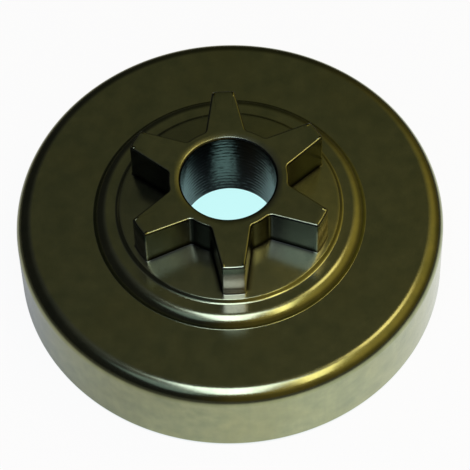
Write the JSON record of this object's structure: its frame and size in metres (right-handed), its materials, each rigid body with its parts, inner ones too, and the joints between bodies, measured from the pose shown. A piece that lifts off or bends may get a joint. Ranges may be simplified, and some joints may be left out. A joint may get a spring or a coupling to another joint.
{
  "type": "chainsaw clutch drum",
  "caption": "Cup-shaped steel clutch drum for a chainsaw, with a spur sprocket for the saw chain on its closed end and a bored hub for a needle bearing.",
  "frame": {"origin": "centre of the open rim, in the plane that the drum stands on", "axes": "+Z along the axis of rotation, from the open rim towards the sprocket; -Y runs along the middle of one sprocket tooth"},
  "size_m": [0.0635, 0.0634, 0.0228],
  "materials": {
    "steel": "dark olive-grey heat-treated steel, semi-gloss, with fine turned lines"
  },
  "bodies": {
    "root": {"clutch_drum": "steel"}
  },
  "joints": []
}
